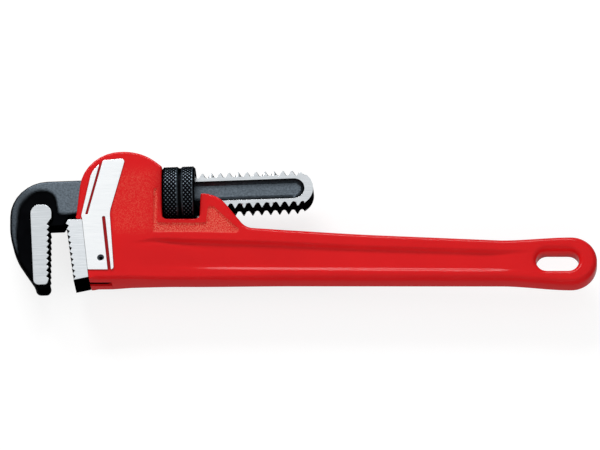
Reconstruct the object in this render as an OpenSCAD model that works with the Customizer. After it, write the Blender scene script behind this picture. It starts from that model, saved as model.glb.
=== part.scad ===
// Straight pipe wrench: a one-piece cast handle and housing, a threaded hook jaw that an
// adjusting nut draws through the housing, a pinned heel jaw, and a spring set under the shank.
//
// Construction frame: X runs along the handle from the rear face of the arch, Y runs from the
// handle's underside to the shank, and Z is the thickness, with the mid-plane at 0.
// Jaw frame: X runs along the shank's axis, Y across it, and it rises by shank_rise from the
// construction frame. place() then puts the origin on the surface that the wrench lies on,
// under the middle of its outline.

/* [Handle] */
// Length of the handle behind the arch
handle_len = 261; // [240:0.5:300]
// Width of the handle behind the rear lug
root_w = 33.2; // [32:0.1:34]
// Width of the handle at its waist, ahead of the hang hole
waist_w = 26.3; // [22:0.1:30]
// Thickness of the handle over its flanges
handle_thick = 14; // [12:0.5:16]
// Rounding of the handle's long edges
edge_r = 3.6; // [2:0.1:4.5]
// Radius of the round end of the handle
bulb_r = 15.4; // [15:0.1:18]
// Depth of the I-beam recess on each face
web_recess = 2.3; // [1:0.1:3.5]
// Width of the flange on the shank's side, as a share of the handle's width
top_flange = 0.27; // [0.2:0.01:0.3]
// Width of the flange on the underside, as a share of the handle's width
bottom_flange = 0.16; // [0.14:0.01:0.3]
// Length of the hang hole
hang_len = 25.4; // [20:0.1:28]
// Width of the hang hole
hang_w = 13; // [10:0.1:15]

/* [Housing] */
// Thickness of the cast cheeks
cast_thick = 18.6; // [18:0.1:20]
// Height of the ground pads above the casting, on each face
pad_rise = 0.45; // [0.2:0.05:0.8]
// Distance from the arch's rear face to its front edge
arch_len = 51.4; // [51:0.1:52]
// Height of the top of the arch above the handle's underside
arch_top = 83.6; // [82:0.1:88]
// Length of the nut window
window_len = 23.2; // [23:0.1:25]
// Height of the window's floor on the cheeks
window_floor = 38.6; // [37.5:0.1:38.8]
// Width of the channel that the shank runs in
channel_w = 13.4; // [13:0.1:14]
// Height of the channel's floor
channel_floor = 35.4; // [34.8:0.1:35.6]
// Top of the rear lug above the handle's underside
lug_top = 55.5; // [54:0.1:58]

/* [Hook jaw] */
// Height of the shank's axis above the handle's underside, at the arch's rear face
axis_y = 57.1; // [56.9:0.1:57.3]
// Angle by which the shank rises towards its tail
shank_rise = 2.2; // [2:0.01:2.3]
// Outer diameter of the shank's thread
thread_od = 26.3; // [26:0.05:26.4]
// Pitch of the single-start, left-hand thread
thread_pitch = 5.4; // [5.3:0.05:5.5]
// Depth of the thread
thread_depth = 2.8; // [2.7:0.05:3.1]
// Thickness of the shank
shank_thick = 11.7; // [11:0.1:12]
// Distance from the arch's rear face to the centre of the shank's round tail
shank_reach = 79; // [76:0.1:84]
// Thickness of the neck and of the hook's rim
neck_thick = 13; // [12.4:0.1:13]
// Thickness of the hook over its ground pads
hook_thick = 17; // [15:0.1:18]
// Length of the hook below the shank's axis
hook_drop = 60; // [58:0.1:62]
// Number of teeth on each jaw
tooth_count = 10; // [8:1:12]
// Depth of the jaw teeth
tooth_depth = 1.6; // [1:0.1:2]

/* [Nut] */
// Outer diameter of the nut
nut_od = 35.7; // [35:0.1:36]
// Length of the nut
nut_len = 19.5; // [18:0.1:19.8]
// Depth of the groove between the knurled bands
nut_groove = 1; // [0.5:0.1:1.5]
// Clearance between the two threads
thread_gap = 0.22; // [0.15:0.01:0.3]

/* [Heel jaw] */
// Thickness of the tenon in the housing's fork
tenon_thick = 5; // [4:0.1:6]
// Diameter of the spring pin
pin_d = 4; // [3:0.1:5]
// Length of the spring pin
pin_len = 17.6; // [14:0.1:18]

/* [Spring set] */
// Thickness of the leaf
leaf_thick = 1; // [0.8:0.1:1.2]
// Width of the leaf
leaf_w = 10; // [8:0.1:12]
// Outer diameter of the coil spring
coil_od = 8; // [7:0.1:9]
// Wire diameter of the coil spring
coil_wire = 1.2; // [1:0.1:1.3]
// Turns of the coil spring, its two closed end turns included
coil_turns = 6; // [5:0.5:7]

/* [Hidden] */
$fn = 48;
cast_red = "#cf2226";
forged_black = "#23262a";
ground_steel = "#c3c8cc";
spring_steel = "#6d7378";
seat_gap = 0.1;
over = 1;
front = -arch_len;

// Handle
half_handle = handle_thick / 2;
half_cast = cast_thick / 2;
half_pad = half_cast + pad_rise;
bulb_x = handle_len - bulb_r;
bulb_y = 12.9;
tip_half = 1.7;
waist_x = 204;
root_x = 52;
foot_taper = [front + 13.4, 50];
top_taper = [60, 70];
recess_ends = [-16, 214];
recess_fades = [20, 70];
wall_run = 2.4;
hang_at = [bulb_x - 8.1, bulb_y];
hang_run = (hang_len - hang_w) / 2;

// Housing outlines: each corner is [x, y, radius]
function arch_face(y) = (axis_y - y) * tan(shank_rise);
chin_y = 38.2;
function seam(y) = [front + mix(9.5, 4, y / chin_y), y];
head_foot = -0.6;
channel_top = axis_y + thread_od / 2 / cos(shank_rise) + 0.35;
head_outline = [
    rounding(seam(head_foot), 0.8), [front + 22.4, head_foot, 12], [front + 36.4, 25.5, 8],
    [63, 23.8, 2], [72, 27.5, 1],
    [51, 33.5, 10], [33.4, lug_top, 17], [window_len, lug_top, 1.5],
    [window_len, window_floor, 3], [arch_face(window_floor), window_floor, 3],
    [arch_face(73.6), 73.6, 1.5], [front / 4, arch_top, arch_len * 0.6],
    [front * 0.938, arch_top, arch_len * 0.475], [front, chin_y, 1.5], rounding(seam(chin_y), 0.3)];
pad_outline = [
    rounding(seam(4.8), 0.4), [front + 24.5, 4.8, 1.2], [front + 20.5, 42.8, 16],
    [front + 28.5, 78.4, 2], [front + 15.2, 77, 2.5], [front + 8.4, 69.4, 6], [front + 3.4, 40.2, 2],
    rounding(seam(chin_y), 0.3)];
pad_grooves = [
    [[front + 15.1, 79], [front + 7.2, 41.6], 1.3], [[front + 16.6, 39], [front + 20.3, 3.5], 1.9]];
sunk_outline = [
    [-4.4, 29.8, 1], [29, 29.6, 6], [56.5, 28.8, 2], [45.2, 33.2, 8], [31.6, 46.4, 2], [28, 46.8, 1.5],
    [27.2, 35.8, 1.5], [-2.2, 35.8, 2], [-2.8, 58.5, 1], [-5, 58.5, 1]];
sunk_depth = 0.8;
slot_w = tenon_thick + 2 * seat_gap;
slot_end = front + 25.4;
pin_at = [front + 16.3, 12.6];

// Hook jaw, in the jaw frame
r_crest = thread_od / 2;
r_root = r_crest - thread_depth;
half_shank = shank_thick / 2;
half_neck = neck_thick / 2;
half_hook = hook_thick / 2;
thread_first = 2.85 - floor((arch_len - 12) / thread_pitch) * thread_pitch;
tail_r = sqrt(r_crest * r_crest - half_shank * half_shank);
groove_r = 6.45;
groove_depth = 2.4;
groove_start = 6;
neck_top = 10.1;
neck_foot = -19;
ramp_top = -12.9;
neck_end = thread_first + thread_pitch / 2 + 0.6;
bite_foot = [front - 16.5, 5 - hook_drop];
bite_top = [front - 16.5, -16.9];
bite = teeth(bite_foot, bite_top, tooth_depth, tooth_count, 0.36);
hook_outline = concat(
    [[front - 40.5, neck_top, 25], [front - 40.5, -32.6, 50], [front - 23.2, -hook_drop, 3.5],
     [front - 15.6, -hook_drop, 3]],
    [for (p = bite) if (p[1] < neck_foot) p],
    [[front - 17.8, neck_foot, 0], [front - 8.4, neck_foot, 0.8], [front - 5.2, ramp_top, 1],
     [neck_end, ramp_top, 0], [neck_end, neck_top, 0]]);
hook_pad = concat(
    [[front - 28.2, -6.2, 5.5], [front - 25.6, 1.2 - hook_drop, 3.4],
     [front - 17.6, 1.2 - hook_drop, 2]],
    bite, [[front - 15.3, -15.2, 1.5], [front - 15.3, -6.2, 5.5]]);
rim_outline = [
    [front - 44.6, 14, 0], [front - 44.6, -50, 0], [front - 33.6, -46, 4], [front - 35.8, -25, 30],
    [front - 34, -6, 12], [front - 24.6, 5.4, 9], [front - 14.2, 1.5, 7], [front - 11.9, -12, 1.5],
    [front - 0.6, -12, 0], [front - 0.6, 14, 0]];

// Nut, in the jaw frame
nut_front = 0.3;
nut_bore = r_crest + thread_gap;
nut_chamfer = 1.2;

// Heel jaw
heel_top_y = chin_y - 0.5;
heel_bite_top = [front - 5.6, 35];
heel_bite_foot = [front + 0.6, -2];
tenon_end = slot_end - slot_w / 2 - 0.3;
saddle_w = channel_w + 0.2;

// Spring set
leaf_gap = 0.2;
leaf_y = -r_crest - leaf_gap - leaf_thick / 2;
leaf_front = front + 8.2;
leaf_rear = -4;
leaf_foot = (channel_floor + 0.8 * leaf_thick - axis_y - leaf_front * sin(shank_rise)) / cos(shank_rise);
coil_x = front + 36.4;
coil_base = channel_floor - 6;
coil_top = axis_y + coil_x * tan(shank_rise) + leaf_y - leaf_thick / 2 - 0.35;
coil_r = (coil_od - coil_wire) / 2;
rivet_x = coil_x + leaf_y * sin(shank_rise);
rivet_d = 2.6;
boss_d = coil_od - 2 * coil_wire - 0.4;

// Helpers
function smooth(u) = let (c = min(1, max(0, u))) c * c * (3 - 2 * c);
function mix(a, b, u) = a + (b - a) * u;
function turn(p, a) = [p[0] * cos(a) - p[1] * sin(a), p[0] * sin(a) + p[1] * cos(a)];

// Arc of radius r that rounds the corner q between p and n, or the corner itself when r is 0
function rounded(p, q, n, r) =
    let (a = (p - q) / norm(p - q), b = (n - q) / norm(n - q),
         half = acos(min(1, max(-1, a * b))) / 2,
         centre = q + (a + b) / norm(a + b) * r / sin(half),
         from = q + a * r / tan(half) - centre,
         to = q + b * r / tan(half) - centre,
         sweep = 180 - 2 * half,
         side = from[0] * to[1] - from[1] * to[0] > 0 ? 1 : -1,
         steps = max(2, ceil(sweep / 10)))
    r == 0 ? [q] : [for (i = [0:steps]) centre + turn(from, side * sweep * i / steps)];

// Closed outline through corners given as [x, y, radius]
function outline(corners) =
    let (n = len(corners), flat = [for (c = corners) [c[0], c[1]]])
    [for (i = [0:n - 1])
        each rounded(flat[(i + n - 1) % n], flat[i], flat[(i + 1) % n], corners[i][2])];

// Corners of a saw-tooth line from a to b, with its valleys to the left of that direction
function teeth(a, b, depth, count, lean) =
    let (step = (b - a) / count, left = turn(step, 90) / norm(step))
    concat([for (i = [0:count - 1])
        each [sharp(a + step * i), sharp(a + step * (i + lean) + left * depth)]], [sharp(b)]);
function rounding(p, r) = [p[0], p[1], r];
function sharp(p) = rounding(p, 0);

// Faces of a capped tube of rings 0 to last with n points each, running clockwise around its axis.
// Each cap is a ladder of triangles between the first half of its ring and the second.
function tube_faces(n, last) = concat(
    [for (i = [0:n / 2 - 2]) each [[n - 1 - i, i + 1, i], [n - 1 - i, n - 2 - i, i + 1]]],
    [for (k = [0:last - 1], i = [0:n - 1])
        let (a = k * n + i, b = k * n + (i + 1) % n)
        each [[a, b, b + n], [a, b + n, a + n]]],
    [for (i = [0:n / 2 - 2]) let (c = [1, 1, 1] * last * n)
        each [[i, i + 1, n - 1 - i] + c, [i + 1, n - 2 - i, n - 1 - i] + c]]);

module bar(corners, half) {
    linear_extrude(height = 2 * half, center = true) polygon(outline(corners));
}

// Round-ended slot from a to b, of width w, cut through a height of h
module slot(a, b, w, h) {
    run = b - a;
    translate([a[0], a[1], -h / 2])
    rotate([0, 0, atan2(run[1], run[0])]) {
        cylinder(d = w, h = h);
        translate([norm(run), 0, 0]) cylinder(d = w, h = h);
        translate([0, -w / 2, 0]) cube([norm(run), w, h]);
    }
}

module in_jaw_frame() {
    translate([0, axis_y, 0]) rotate([0, 0, shank_rise]) children();
}

// Extents of the whole wrench, which set the origin
hook_points = [for (p = outline(hook_outline)) turn(p, shank_rise) + [0, axis_y]];
x_min = min([for (p = hook_points) p[0]]);
y_min = min([for (p = hook_points) p[1]]);
y_max = max([for (p = outline(head_outline)) p[1]]);

module place() {
    translate([-(x_min + handle_len) / 2, -(y_min + y_max) / 2, nut_od / 2]) children();
}

// Handle: I-beam sections lofted along X
function bulb_half(x) = sqrt(max(tip_half * tip_half, bulb_r * bulb_r - pow(x - bulb_x, 2)));
function handle_top(x) =
    x < waist_x ? mix(root_w, waist_w, (x - root_x) / (waist_x - root_x))
    : x < bulb_x ? mix(waist_w, bulb_y + bulb_r, smooth((x - waist_x) / (bulb_x - waist_x)))
    : bulb_y + bulb_half(x);
function handle_foot(x) =
    x < waist_x ? 0
    : x < bulb_x ? mix(0, bulb_y - bulb_r, smooth((x - waist_x) / (bulb_x - waist_x)))
    : bulb_y - bulb_half(x);
function end_round(x) =
    let (d = edge_r - min(edge_r, handle_len - x)) edge_r - sqrt(edge_r * edge_r - d * d);
// Half thickness at the underside or at the top, where taper is [start, run]
function half_at(x, taper) =
    mix(half_cast - 0.15, half_handle, smooth((x - taper[0]) / taper[1])) - end_round(x);
function recess_at(x) = web_recess * smooth((x - recess_ends[0]) / recess_fades[0])
    * smooth((recess_ends[1] - x) / recess_fades[1]);

// Half of a section, from the underside to the top, as [y, z]
function half_section(x) =
    let (foot = handle_foot(x), top = handle_top(x), d = recess_at(x),
         h = half_at(x, foot_taper), k = half_at(x, top_taper),
         r = min(edge_r, (top - foot) / 2 - 0.2, h - 0.2),
         low = max(mix(foot, top, bottom_flange), foot + r + 0.05),
         high = min(mix(foot, top, 1 - top_flange), top - r - 0.05),
         run = min(wall_run, (high - low) / 4))
    concat(
        [for (a = [0:30:90]) [foot + r - r * cos(a), h - r + r * sin(a)]],
        [[low, h], [low + run, mix(h, k, 0.2) - d], [high - run, mix(h, k, 0.8) - d], [high, k]],
        [for (a = [90:-30:0]) [top - r + r * cos(a), k - r + r * sin(a)]]);
function section(x) =
    let (half = half_section(x), n = len(half))
    [for (p = half) [x, p[0], p[1]], for (i = [n - 1:-1:0]) [x, half[i][0], -half[i][1]]];

handle_stations = concat(
    [front * 2 / 3, front * 0.54, -16, -8, 0, 10, 25, 45, 60, 75, 88, 100, 115, 130, 150, 170, 188, 204],
    [for (x = [212:8:bulb_x - 2]) x], [for (a = [0:12:84]) bulb_x + bulb_r * sin(a)],
    [handle_len]);

module handle_beam() {
    rings = [for (x = handle_stations) section(x)];
    n = len(rings[0]);
    last = len(rings) - 1;
    polyhedron(
        points = [for (ring = rings) each ring],
        faces = tube_faces(n, last),
        convexity = 10);
}

module handle_housing() {
    color(cast_red)
    place()
    difference() {
        union() {
            handle_beam();
            bar(head_outline, half_cast);
            difference() {
                bar(pad_outline, half_pad);
                for (g = pad_grooves) slot(g[0], g[1], g[2], 2 * (half_pad + over));
            }
        }
        // channel for the shank
        translate([front - over, channel_floor, -channel_w / 2])
            cube([arch_len + window_len + 40, channel_top - channel_floor, channel_w]);
        // fork for the heel jaw's tenon
        translate([front - over, -over, -slot_w / 2])
            cube([slot_end - slot_w / 2 - front + over, channel_floor + 2 * over, slot_w]);
        translate([slot_end - slot_w / 2, -over, 0])
            rotate([-90, 0, 0]) cylinder(d = slot_w, h = channel_floor + 2 * over);
        // bore for the spring pin
        translate([pin_at[0], pin_at[1], -half_pad - over])
            cylinder(d = pin_d + 0.04, h = 2 * (half_pad + over));
        // pocket for the coil spring
        translate([coil_x, coil_base, 0])
            rotate([-90, 0, 0]) cylinder(d = coil_od + 0.8, h = 8);
        // hang hole
        slot(hang_at - [hang_run, 0], hang_at + [hang_run, 0], hang_w, cast_thick);
        // sunk rough-cast fields beside the window and on the lug
        for (side = [-1, 1])
            translate([0, 0, side * (half_cast + 1 - sunk_depth)])
            linear_extrude(height = 2, center = true) polygon(outline(sunk_outline));
    }
}

// Thread profile along the shank: radius at a distance from the nearest crest, as [x, radius]
function thread_profile(first, count) = [
    for (k = [0:count - 1]) let (x = first + k * thread_pitch)
        each [[x - 0.25, r_crest], [x + 0.25, r_crest],
              [x + thread_pitch / 2 - 0.95, r_root + 0.35], [x + thread_pitch / 2, r_root],
              [x + thread_pitch / 2 + 0.95, r_root + 0.35]]];
// Point of the left-hand thread's surface at height z; side is 1 above the axis and -1 below it
function thread_point(p, z, side) =
    let (y = sqrt(p[1] * p[1] - z * z))
    tail_point([p[0] - side * thread_pitch * atan2(z, y) / 360, side * y], z);
// The same point, drawn in to the shank's round tail
function tail_point(p, z) =
    let (centre = [shank_reach, 0], out = norm(p - centre),
         q = p[0] > shank_reach && out > tail_r ? centre + (p - centre) * tail_r / out : p)
    [q[0], q[1], z];

module threaded_bar() {
    count = floor((shank_reach + tail_r / 2 - thread_first) / thread_pitch) + 1;
    upper = thread_profile(thread_first, count);
    lower = thread_profile(thread_first + thread_pitch / 2, count);
    n = len(upper);
    levels = [for (i = [-2:2]) half_shank * i / 2];
    tail = [for (a = [35:-14:-35]) [shank_reach + tail_r * cos(a), tail_r * sin(a)]];
    polyhedron(
        points = [for (z = levels) each concat(
            [for (i = [0:n - 1]) thread_point(upper[i], z, 1)],
            [for (t = tail) [t[0], t[1], z]],
            [for (i = [n - 1:-1:0]) thread_point(lower[i], z, -1)])],
        faces = tube_faces(2 * n + len(tail), len(levels) - 1),
        convexity = 10);
}

module hook_jaw() {
    color(forged_black)
    place()
    in_jaw_frame()
    difference() {
        union() {
            threaded_bar();
            bar(hook_outline, half_shank);
            intersection() {
                bar(hook_outline, half_neck);
                bar(rim_outline, half_neck + over);
            }
            bar(hook_pad, half_hook);
        }
        for (side = [-1, 1])
            translate([0, 0, side * (half_shank + 2 - groove_depth)])
            slot([groove_start + groove_r, 0], [shank_reach, 0], 2 * groove_r, 4);
    }
}

// Ridge of the nut's thread: a helix of trapezoids in the roots of the shank's thread
module nut_ridge() {
    slope = (thread_pitch / 2 - 1.2) / (thread_depth - 0.35);
    inner = [r_root + 0.35, 0.5];
    outer = [nut_bore + 0.3, 0.5 + slope * (nut_bore + 0.3 - r_root - 0.35)];
    steps = 24;
    turns = ceil(nut_len / thread_pitch) + 2;
    start = thread_first + thread_pitch * (6.5 + turns);
    corners = [[inner[0], -inner[1]], [outer[0], -outer[1]], [outer[0], outer[1]], [inner[0], inner[1]]];
    last = steps * turns;
    polyhedron(
        points = [for (k = [0:last], c = corners) let (a = 360 * k / steps)
            [start - thread_pitch * k / steps + c[1], c[0] * cos(a), c[0] * sin(a)]],
        faces = tube_faces(4, last),
        convexity = 10);
}

module adjusting_nut() {
    r = nut_od / 2;
    mid = nut_len * 0.54;
    color(forged_black)
    place()
    in_jaw_frame()
    union() {
        translate([nut_front, 0, 0])
        rotate([0, 90, 0])
        rotate_extrude()
            polygon([[nut_bore, 0], [r - nut_chamfer, 0], [r, nut_chamfer], [r, mid - 2 * nut_groove],
                     [r - nut_groove, mid - nut_groove], [r - nut_groove, mid + nut_groove],
                     [r, mid + 2 * nut_groove], [r, nut_len - nut_chamfer],
                     [r - nut_chamfer, nut_len], [nut_bore, nut_len]]);
        intersection() {
            nut_ridge();
            translate([nut_front, 0, 0]) rotate([0, 90, 0]) cylinder(r = r - nut_chamfer, h = nut_len);
        }
    }
}

module heel_jaw() {
    color(ground_steel)
    place()
    difference() {
        union() {
            bar(concat(
                [[front - 4.4, heel_top_y, 1.4]],
                teeth(heel_bite_top, heel_bite_foot, tooth_depth * 0.8, tooth_count, 0.5),
                [sharp(seam(0) - [seat_gap, 0]), sharp(seam(heel_top_y) - [seat_gap, 0])]), half_pad);
            bar([[front + 3.4, 2.5, 1], [tenon_end, 2.5, 6], [tenon_end, 33.5, 4],
                 [front - 1.6, 33.5, 0.3]], tenon_thick / 2);
        }
        // saddle that the neck of the hook passes through
        translate([front - 10, channel_floor - seat_gap * 2, -saddle_w / 2])
            cube([20, chin_y, saddle_w]);
        translate([pin_at[0], pin_at[1], -half_pad]) cylinder(d = pin_d + 0.04, h = 2 * half_pad);
    }
}

module heel_jaw_pin() {
    color(spring_steel)
    place()
    translate([pin_at[0], pin_at[1], -pin_len / 2])
    difference() {
        cylinder(d = pin_d, h = pin_len);
        translate([0, 0, -over]) cylinder(d = pin_d * 0.55, h = pin_len + 2 * over);
        translate([0, -0.35, -over]) cube([pin_d, 0.7, pin_len + 2 * over]);
    }
}

// Leaf in the jaw frame: a strip under the thread with a bent foot in the mouth of the channel
module flat_spring() {
    half = leaf_thick / 2;
    color(spring_steel)
    place()
    in_jaw_frame()
    difference() {
        linear_extrude(height = leaf_w, center = true) {
            polygon(outline([
                [leaf_front - half, leaf_y + half, 2], [leaf_front - half, leaf_foot, 0],
                [leaf_front + half, leaf_foot, 0], [leaf_front + half, leaf_y - half, 1],
                [leaf_rear, leaf_y - half, 0.3], [leaf_rear, leaf_y + half, 0.3]]));
            translate([leaf_front, leaf_foot]) circle(d = 1.5 * leaf_thick);
        }
        translate([rivet_x, 0, 0]) rotate([90, 0, 0]) cylinder(d = rivet_d, h = 30);
    }
}

// Rivet, flush with the leaf, with a boss that the coil's last turn is pressed over
module spring_rivet() {
    color(spring_steel)
    place()
    in_jaw_frame()
    translate([rivet_x, leaf_y + leaf_thick / 2, 0])
    rotate([90, 0, 0]) {
        cylinder(d = rivet_d, h = leaf_thick);
        translate([0, 0, leaf_thick]) cylinder(d = boss_d, h = coil_wire * 1.5);
    }
}

// Height of the wire's centre after u turns: the first and the last turn lie closed
function coil_rise(u) =
    let (free = coil_top - coil_base - coil_wire * 3)
    coil_wire * (min(u, 1) + max(0, u - coil_turns + 1))
    + free * min(1, max(0, (u - 1) / (coil_turns - 2)));

module coil_spring() {
    steps = 20;
    sides = 8;
    last = steps * coil_turns;
    color(spring_steel)
    place()
    polyhedron(
        points = [for (k = [0:last], i = [0:sides - 1])
            let (a = 360 * k / steps, b = 360 * i / sides, r = coil_r + coil_wire / 2 * cos(b))
            [coil_x + r * cos(a),
             coil_base + coil_wire / 2 * (1 + sin(b)) + coil_rise(k / steps),
             -r * sin(a)]],
        faces = tube_faces(sides, last),
        convexity = 10);
}

handle_housing();
hook_jaw();
adjusting_nut();
heel_jaw();
heel_jaw_pin();
flat_spring();
coil_spring();
spring_rivet();
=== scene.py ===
from math import radians

import bmesh
import bpy
import numpy as np
from mathutils import Matrix, Vector
from mathutils.geometry import delaunay_2d_cdt
from mathutils.kdtree import KDTree


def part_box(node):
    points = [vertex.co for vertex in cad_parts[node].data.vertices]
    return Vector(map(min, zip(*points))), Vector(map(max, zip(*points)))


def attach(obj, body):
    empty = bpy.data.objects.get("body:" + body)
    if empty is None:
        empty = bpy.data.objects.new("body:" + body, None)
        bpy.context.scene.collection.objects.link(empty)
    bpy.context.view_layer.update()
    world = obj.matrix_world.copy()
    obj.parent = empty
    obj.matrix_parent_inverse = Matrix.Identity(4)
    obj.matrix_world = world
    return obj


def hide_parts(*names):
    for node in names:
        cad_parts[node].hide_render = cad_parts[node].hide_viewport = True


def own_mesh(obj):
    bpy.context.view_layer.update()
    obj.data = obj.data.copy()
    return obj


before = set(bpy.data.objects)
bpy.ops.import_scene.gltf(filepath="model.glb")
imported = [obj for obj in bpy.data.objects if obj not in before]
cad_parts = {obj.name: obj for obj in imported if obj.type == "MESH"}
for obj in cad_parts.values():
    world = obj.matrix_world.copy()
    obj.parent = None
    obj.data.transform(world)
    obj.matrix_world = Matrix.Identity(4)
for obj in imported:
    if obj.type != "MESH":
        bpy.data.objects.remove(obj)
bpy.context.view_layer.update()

# ---------------------------------------------------------------------------------------------
# Handle and housing: one casting in ductile iron with a sand-cast skin under red enamel, whose
# I-beam handle flows into two cheeks with an arch over them. Sizes are millimetres from the
# arch's rear face (x), the handle's underside (y) and the mid-plane (z).
handle_length, arch_height = 261.0, 83.6
low_corner, high_corner = (np.array(c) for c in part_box("handle_housing"))
datum = np.array([high_corner[0] - handle_length / 1000, high_corner[1] - arch_height / 1000,
                  (low_corner[2] + high_corner[2]) / 2])

cheek_half, handle_half = 9.3, 7.0
arch_front = -51.4
seat_top = 38.2
bulb_centre, bulb_radius = np.array([245.6, 12.9]), 15.4
hang_centre, hang_half_run, hang_radius = np.array([237.5, 12.9]), 6.2, 6.5
waist_start, root_start = 204.0, 52.0
waist_height, root_height = 26.3, 33.2
recess_ends, shallow, deep = (-22, 227), 0.7, 2.3
field_depth = 0.8
pin_at, pin_bore = np.array([arch_front + 16.3, 12.6]), 2.02
channel_half, channel_floor, channel_roof = 6.7, 35.4, 70.6
fork_half, fork_end = 2.6, -26.0
axis_height, shank_rise = 57.1, radians(2.2)
coil_x, coil_foot, coil_pocket = -15.0, 29.4, 4.4
fine = 0.9


def mix(a, b, share):
    """Straight blend: a where share is 0, b where it is 1."""
    return a + (b - a) * share


def ease(u):
    """Soft step 3u^2 - 2u^3, held at 0 below u = 0 and at 1 above u = 1."""
    u = np.clip(u, 0, 1)
    return u * u * (3 - 2 * u)


def unit(v):
    """Vectors along the last axis at length 1."""
    return v / np.maximum(np.linalg.norm(v, axis=-1, keepdims=True), 1e-12)


def spoke(angle):
    """Unit vectors in the plane at these angles."""
    return np.stack([np.cos(angle), np.sin(angle)], -1)


def cut_up(loop, step):
    """Closed loop with each side cut into equal parts no longer than step."""
    side = np.roll(loop, -1, 0) - loop
    parts = np.maximum(np.ceil(np.linalg.norm(side, axis=1) / step).astype(int), 1)
    start = np.repeat(np.arange(len(loop)), parts)
    share = (np.arange(parts.sum()) - np.repeat(np.cumsum(parts) - parts, parts)) / parts[start]
    return loop[start] + side[start] * share[:, None]


def rounded(corners, step=0.9, facets=8):
    """Closed loop through (x, y, radius) corners: each corner becomes the arc of its radius that
    touches both sides, with its centre on the bisector at radius / sin(half the corner)."""
    c = np.array(corners, float)
    p, r = c[:, :2], c[:, 2:]
    back, ahead = unit(np.roll(p, 1, 0) - p), unit(np.roll(p, -1, 0) - p)
    half = np.arccos(np.clip((back * ahead).sum(1, keepdims=True), -1, 1)) / 2
    centre = p + unit(back + ahead) * r / np.sin(half)
    first, last = p + back * r / np.tan(half) - centre, p + ahead * r / np.tan(half) - centre
    way = np.sign(first[:, :1] * last[:, 1:] - first[:, 1:] * last[:, :1])
    sweep = way * (np.pi - 2 * half) * np.linspace(0, 1, facets + 1)
    angle = np.arctan2(first[:, 1:], first[:, :1]) + sweep
    loop = (centre[:, None] + r[:, None] * spoke(angle)).reshape(-1, 2)
    loop = loop[np.linalg.norm(loop - np.roll(loop, 1, 0), axis=1) > 1e-4]
    return cut_up(loop, step)


def oblong(a, b, radius, step=0.6):
    """Round-ended loop around the line from a to b: two half circles and the sides between."""
    a, b = np.array(a, float), np.array(b, float)
    lean = np.arctan2(*(b - a)[::-1])
    turn = np.linspace(-np.pi / 2, np.pi / 2, 17)
    ends = [c + radius * spoke(turn + lean + t) for c, t in ((b, 0), (a, np.pi))]
    return cut_up(np.concatenate(ends), step)


def circle(centre, radius, sides=32):
    """Loop of sides points at radius around centre."""
    return np.array(centre) + radius * spoke(np.arange(sides) * 2 * np.pi / sides)


def depth_in(points, loop):
    """Signed distance from each point to a closed loop, positive inside: the least distance to
    its sides, with the sign from how often a ray towards +x crosses them."""
    a, side = loop, np.roll(loop, -1, 0) - loop
    far = np.empty(len(points))
    for part in np.array_split(np.arange(len(points)), len(points) // 150 + 1):
        q = points[part, None] - a
        share = np.clip((q * side).sum(-1) / (side * side).sum(-1), 0, 1)
        gap = np.sqrt(((q - share[..., None] * side) ** 2).sum(-1).min(1))
        spans = (q[..., 1] < 0) != (q[..., 1] < side[:, 1])
        with np.errstate(divide="ignore", invalid="ignore"):
            crossed = spans & (q[..., 0] < q[..., 1] / side[:, 1] * side[:, 0])
        far[part] = np.where(crossed.sum(1) % 2 == 1, gap, -gap)
    return far


def outward_of(loop):
    """Unit vectors square to the loop at each of its points, to the right of its direction."""
    return unit(np.roll(loop, -1, 0) - np.roll(loop, 1, 0))[:, ::-1] * [1, -1]


def plan_of(loops, inside, rounding, spacing, creases=()):
    """Triangles over the plan where inside() is positive. Its points are the loops, rows beside
    them that divide the rounding's quarter circle evenly, the points of any creases, and a
    square grid wherever those leave room."""
    every = np.concatenate(loops)
    quarter = 1 - np.cos(np.radians([15, 30, 45, 60, 75, 90]))
    normal = np.concatenate([outward_of(loop) for loop in loops])
    reach = rounding(every)
    rows = np.concatenate([every + way * normal * (reach * q)[:, None]
                           for q in quarter for way in (1, -1)])
    wanted = np.repeat(quarter, 2 * len(every)) * np.tile(reach, 2 * len(quarter))
    rows = rows[np.abs(inside(rows) - wanted) < 0.02 + 0.02 * wanted]
    lines = [np.arange(low + spacing / 2, high, spacing)
             for low, high in zip(every.min(0), every.max(0))]
    grid = np.stack(np.meshgrid(*lines), -1).reshape(-1, 2)
    points = np.concatenate([every, rows, *creases])
    taken = KDTree(len(points))
    for k, q in enumerate(points.tolist()):
        taken.insert((*q, 0), k)
    taken.balance()
    free = np.array([taken.find((*q, 0))[2] for q in grid.tolist()]) > 0.6 * spacing
    grid = grid[free]
    points = np.concatenate([points, grid[inside(grid) > 0]])
    edges, start = [], 0
    for loop in loops:
        n = len(loop)
        edges += [(start + i, start + (i + 1) % n) for i in range(n)]
        start += n
    out = delaunay_2d_cdt([Vector(p) for p in points.tolist()], edges, [], 0, 1e-6)
    plan, tri = np.array([tuple(v) for v in out[0]]), np.array(out[2])
    tri = tri[inside(plan[tri].mean(1)) > 1e-6]
    used, tri = np.unique(tri, return_inverse=True)
    plan, tri = plan[used], tri.reshape(-1, 3)
    d = plan[tri[:, 1]] - plan[tri[:, 0]], plan[tri[:, 2]] - plan[tri[:, 0]]
    flip = d[0][:, 0] * d[1][:, 1] < d[0][:, 1] * d[1][:, 0]
    tri[flip] = tri[flip][:, ::-1]
    return plan, tri


def softened(height, depth, radius):
    """Height near a rounded rim: the quarter circle that ends upright where depth is 0."""
    d = radius - np.clip(depth, 0, radius)
    return height - radius + np.sqrt(np.maximum(radius * radius - d * d, 0))


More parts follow.
